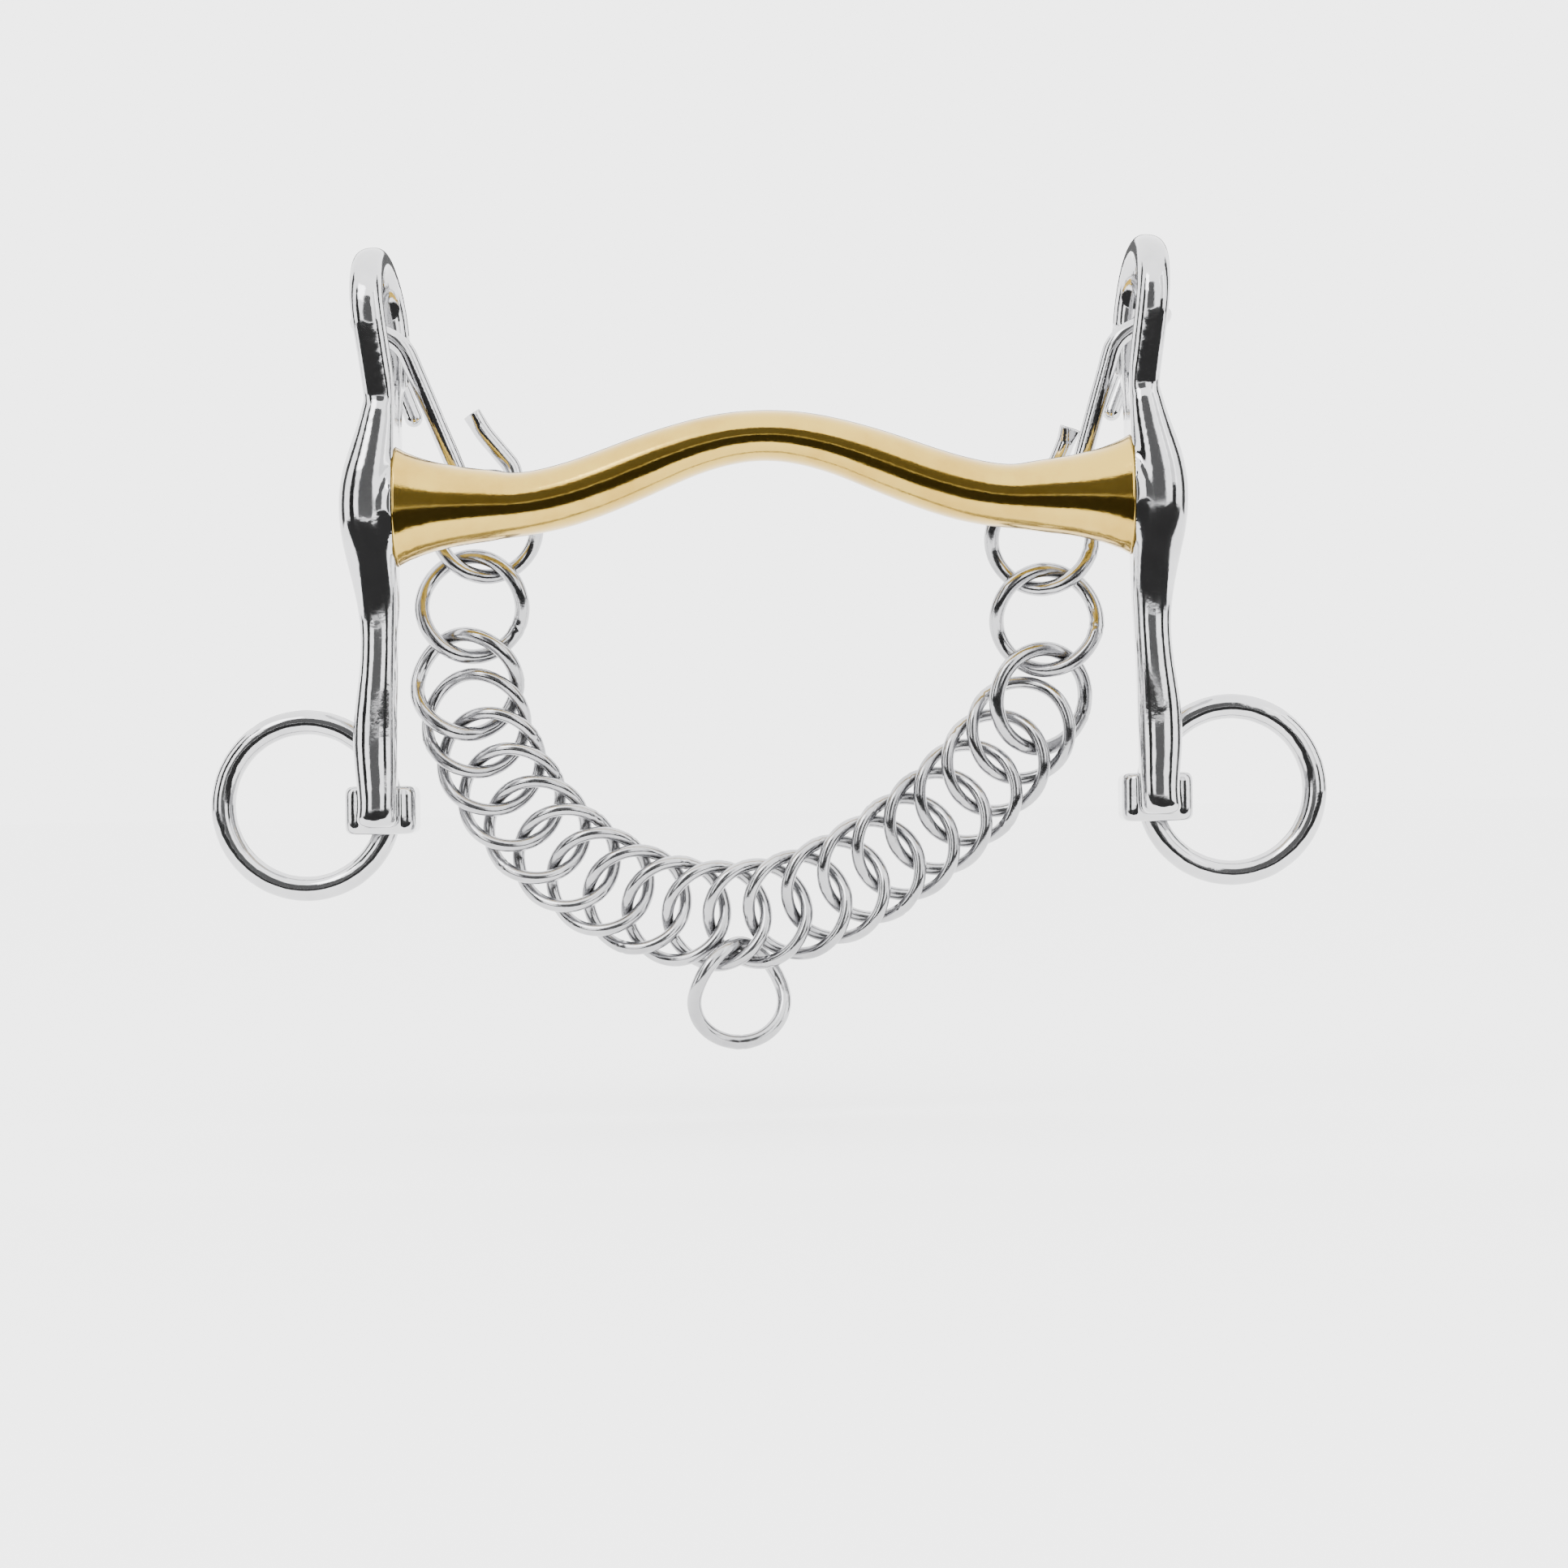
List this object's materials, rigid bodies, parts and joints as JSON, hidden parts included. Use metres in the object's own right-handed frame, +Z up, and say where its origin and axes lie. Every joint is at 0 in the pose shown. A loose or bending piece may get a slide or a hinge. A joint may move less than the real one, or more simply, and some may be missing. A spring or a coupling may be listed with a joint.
{
  "type": "curb bit",
  "caption": "Ported curb bit with forged steel cheeks, loose rein rings, curb hooks and a woven curb chain carrying a fly link.",
  "frame": {"origin": "midway between the two cheeks, level with the joints between the mouthpiece ends and the cheeks, on the line through both joint centres", "axes": "+X along the mouthpiece from the left cheek to the right cheek, +Y to the rear, toward the horse's chin, +Z up, toward the bridle eyes"},
  "size_m": [0.1928, 0.0323, 0.1393],
  "materials": {
    "polished_steel": "polished stainless steel",
    "chain_steel": "polished stainless wire",
    "gold_alloy": "polished pale copper alloy"
  },
  "bodies": {
    "bit": {"mouthpiece": "gold_alloy", "left_cheek": "polished_steel", "right_cheek": "polished_steel"},
    "left_rein_ring": {"left_rein_ring": "polished_steel"},
    "right_rein_ring": {"right_rein_ring": "polished_steel"},
    "left_curb_hook": {"left_curb_hook": "polished_steel"},
    "left_end_ring_1": {"left_end_ring_1": "chain_steel"},
    "left_end_ring_2": {"left_end_ring_2": "chain_steel"},
    "left_end_ring_3": {"left_end_ring_3": "chain_steel"},
    "woven_link_01": {"woven_link_01": "chain_steel"},
    "woven_link_02": {"woven_link_02": "chain_steel"},
    "woven_link_03": {"woven_link_03": "chain_steel"},
    "woven_link_04": {"woven_link_04": "chain_steel"},
    "woven_link_05": {"woven_link_05": "chain_steel"},
    "woven_link_06": {"woven_link_06": "chain_steel"},
    "woven_link_07": {"woven_link_07": "chain_steel"},
    "woven_link_08": {"woven_link_08": "chain_steel"},
    "woven_link_09": {"woven_link_09": "chain_steel"},
    "right_curb_hook": {"right_curb_hook": "polished_steel"},
    "right_end_ring_1": {"right_end_ring_1": "chain_steel"},
    "right_end_ring_2": {"right_end_ring_2": "chain_steel"},
    "right_end_ring_3": {"right_end_ring_3": "chain_steel"},
    "woven_link_18": {"woven_link_18": "chain_steel"},
    "woven_link_17": {"woven_link_17": "chain_steel"},
    "woven_link_16": {"woven_link_16": "chain_steel"},
    "woven_link_15": {"woven_link_15": "chain_steel"},
    "woven_link_14": {"woven_link_14": "chain_steel"},
    "woven_link_13": {"woven_link_13": "chain_steel"},
    "woven_link_12": {"woven_link_12": "chain_steel"},
    "woven_link_11": {"woven_link_11": "chain_steel"},
    "woven_link_10": {"woven_link_10": "chain_steel"},
    "fly_link": {"fly_link": "chain_steel"}
  },
  "joints": [
    {"name": "left_curb_hook_swing", "type": "hinge", "parent": "bit", "child": "left_curb_hook", "pos_m": [-0.0644, 0.015, 0.0305], "axis": [1, 0, 0], "range_deg": [-4, 4]},
    {"name": "right_curb_hook_swing", "type": "hinge", "parent": "bit", "child": "right_curb_hook", "pos_m": [0.0644, 0.015, 0.0305], "axis": [1, 0, 0], "range_deg": [-4, 4]},
    {"name": "left_end_ring_1_swing", "type": "hinge", "parent": "left_curb_hook", "child": "left_end_ring_1", "pos_m": [-0.04845, 0.015, 0.00604], "axis": [0.999, 0, -0.0457], "range_deg": [-10, 25]},
    {"name": "right_end_ring_1_swing", "type": "hinge", "parent": "right_curb_hook", "child": "right_end_ring_1", "pos_m": [0.0483, 0.015, 0.00161], "axis": [0.999, 0, -0.0457], "range_deg": [-10, 25]},
    {"name": "left_end_ring_2_swing", "type": "hinge", "parent": "left_end_ring_1", "child": "left_end_ring_2", "pos_m": [-0.04981, 0.015, -0.00838], "axis": [0.9989, 0, -0.0462], "range_deg": [-20, 12]},
    {"name": "right_end_ring_2_swing", "type": "hinge", "parent": "right_end_ring_1", "child": "right_end_ring_2", "pos_m": [0.04861, 0.015, -0.01293], "axis": [0.9989, 0, -0.0462], "range_deg": [-20, 12]},
    {"name": "left_end_ring_3_swing", "type": "hinge", "parent": "left_end_ring_2", "child": "left_end_ring_3", "pos_m": [-0.05178, 0.015, -0.02243], "axis": [0.999, 0, -0.0447], "range_deg": [-12, 12]},
    {"name": "right_end_ring_3_swing", "type": "hinge", "parent": "right_end_ring_2", "child": "right_end_ring_3", "pos_m": [0.04832, 0.015, -0.0269], "axis": [0.999, 0, -0.0447], "range_deg": [-12, 12]},
    {"name": "woven_link_01_swing", "type": "hinge", "parent": "left_end_ring_3", "child": "woven_link_01", "pos_m": [-0.05166, 0.015, -0.03292], "axis": [0.9993, 0, -0.0367], "range_deg": [-1, 1.5]},
    {"name": "woven_link_18_swing", "type": "hinge", "parent": "right_end_ring_3", "child": "woven_link_18", "pos_m": [0.04586, 0.015, -0.0365], "axis": [0.9993, 0, -0.0367], "range_deg": [-1, 1.5]},
    {"name": "woven_link_02_swing", "type": "hinge", "parent": "woven_link_01", "child": "woven_link_02", "pos_m": [-0.04967, 0.015, -0.03969], "axis": [0.9997, 0, -0.0254], "range_deg": [-3, 3.5]},
    {"name": "woven_link_17_swing", "type": "hinge", "parent": "woven_link_18", "child": "woven_link_17", "pos_m": [0.04176, 0.015, -0.04201], "axis": [0.9997, 0, -0.0254], "range_deg": [-3, 3.5]},
    {"name": "woven_link_03_swing", "type": "hinge", "parent": "woven_link_02", "child": "woven_link_03", "pos_m": [-0.0467, 0.015, -0.04617], "axis": [0.9999, 0, -0.0146], "range_deg": [-2.5, 3.5]},
    {"name": "woven_link_16_swing", "type": "hinge", "parent": "woven_link_17", "child": "woven_link_16", "pos_m": [0.03705, 0.015, -0.04739], "axis": [0.9999, 0, -0.0146], "range_deg": [-2.5, 3.5]},
    {"name": "woven_link_04_swing", "type": "hinge", "parent": "woven_link_03", "child": "woven_link_04", "pos_m": [-0.04281, 0.015, -0.05215], "axis": [1, 0, -0.003], "range_deg": [-2, 3]},
    {"name": "woven_link_15_swing", "type": "hinge", "parent": "woven_link_16", "child": "woven_link_15", "pos_m": [0.03194, 0.015, -0.05238], "axis": [1, 0, -0.003], "range_deg": [-2, 3]},
    {"name": "woven_link_05_swing", "type": "hinge", "parent": "woven_link_04", "child": "woven_link_05", "pos_m": [-0.0381, 0.015, -0.05751], "axis": [1, 0, 0.0087], "range_deg": [-1.5, 2.8]},
    {"name": "woven_link_14_swing", "type": "hinge", "parent": "woven_link_15", "child": "woven_link_14", "pos_m": [0.02644, 0.015, -0.05695], "axis": [1, 0, 0.0087], "range_deg": [-1.5, 2.8]},
    {"name": "woven_link_06_swing", "type": "hinge", "parent": "woven_link_05", "child": "woven_link_06", "pos_m": [-0.03267, 0.015, -0.06212], "axis": [0.9998, 0, 0.02], "range_deg": [-1.3, 2.5]},
    {"name": "woven_link_13_swing", "type": "hinge", "parent": "woven_link_14", "child": "woven_link_13", "pos_m": [0.0206, 0.015, -0.06106], "axis": [0.9998, 0, 0.02], "range_deg": [-1.3, 2.5]},
    {"name": "woven_link_07_swing", "type": "hinge", "parent": "woven_link_06", "child": "woven_link_07", "pos_m": [-0.0266, 0.015, -0.06586], "axis": [0.9996, 0, 0.0286], "range_deg": [-0.9, 2]},
    {"name": "woven_link_12_swing", "type": "hinge", "parent": "woven_link_13", "child": "woven_link_12", "pos_m": [0.01445, 0.015, -0.06469], "axis": [0.9996, 0, 0.0286], "range_deg": [-0.9, 2]},
    {"name": "woven_link_08_swing", "type": "hinge", "parent": "woven_link_07", "child": "woven_link_08", "pos_m": [-0.02001, 0.015, -0.06857], "axis": [0.9995, 0, 0.032], "range_deg": [-0.8, 1]},
    {"name": "woven_link_11_swing", "type": "hinge", "parent": "woven_link_12", "child": "woven_link_11", "pos_m": [0.00797, 0.015, -0.06768], "axis": [0.9995, 0, 0.032], "range_deg": [-0.8, 1]},
    {"name": "woven_link_09_swing", "type": "hinge", "parent": "woven_link_08", "child": "woven_link_09", "pos_m": [-0.01306, 0.015, -0.07013], "axis": [0.9995, 0, 0.032], "range_deg": [-0.7, 0.7]},
    {"name": "woven_link_10_swing", "type": "hinge", "parent": "woven_link_11", "child": "woven_link_10", "pos_m": [0.00113, 0.015, -0.06968], "axis": [0.9995, 0, 0.032], "range_deg": [-0.7, 0.7]},
    {"name": "left_rein_ring_turn", "type": "hinge", "parent": "bit", "child": "left_rein_ring", "pos_m": [-0.066, 0.0098, -0.05115], "axis": [0, 0, -1], "range_deg": [-30, 95]},
    {"name": "right_rein_ring_turn", "type": "hinge", "parent": "bit", "child": "right_rein_ring", "pos_m": [0.066, 0.0098, -0.05115], "axis": [0, 0, 1], "range_deg": [-30, 95]},
    {"name": "fly_link_swing", "type": "hinge", "parent": "woven_link_10", "child": "fly_link", "pos_m": [-0.0058, 0.0147, -0.0755], "axis": [0.8829, 0.4695, 0], "range_deg": [-10, 20]}
  ],
  "couplings": [
    {"joint": "right_curb_hook_swing", "follows": "left_curb_hook_swing", "ratio": 1},
    {"joint": "right_end_ring_1_swing", "follows": "left_end_ring_1_swing", "ratio": 1},
    {"joint": "right_end_ring_2_swing", "follows": "left_end_ring_2_swing", "ratio": 1},
    {"joint": "right_end_ring_3_swing", "follows": "left_end_ring_3_swing", "ratio": 1},
    {"joint": "woven_link_18_swing", "follows": "woven_link_01_swing", "ratio": 1},
    {"joint": "woven_link_17_swing", "follows": "woven_link_02_swing", "ratio": 1},
    {"joint": "woven_link_16_swing", "follows": "woven_link_03_swing", "ratio": 1},
    {"joint": "woven_link_15_swing", "follows": "woven_link_04_swing", "ratio": 1},
    {"joint": "woven_link_14_swing", "follows": "woven_link_05_swing", "ratio": 1},
    {"joint": "woven_link_13_swing", "follows": "woven_link_06_swing", "ratio": 1},
    {"joint": "woven_link_12_swing", "follows": "woven_link_07_swing", "ratio": 1},
    {"joint": "woven_link_11_swing", "follows": "woven_link_08_swing", "ratio": 1},
    {"joint": "woven_link_10_swing", "follows": "woven_link_09_swing", "ratio": 1}
  ]
}
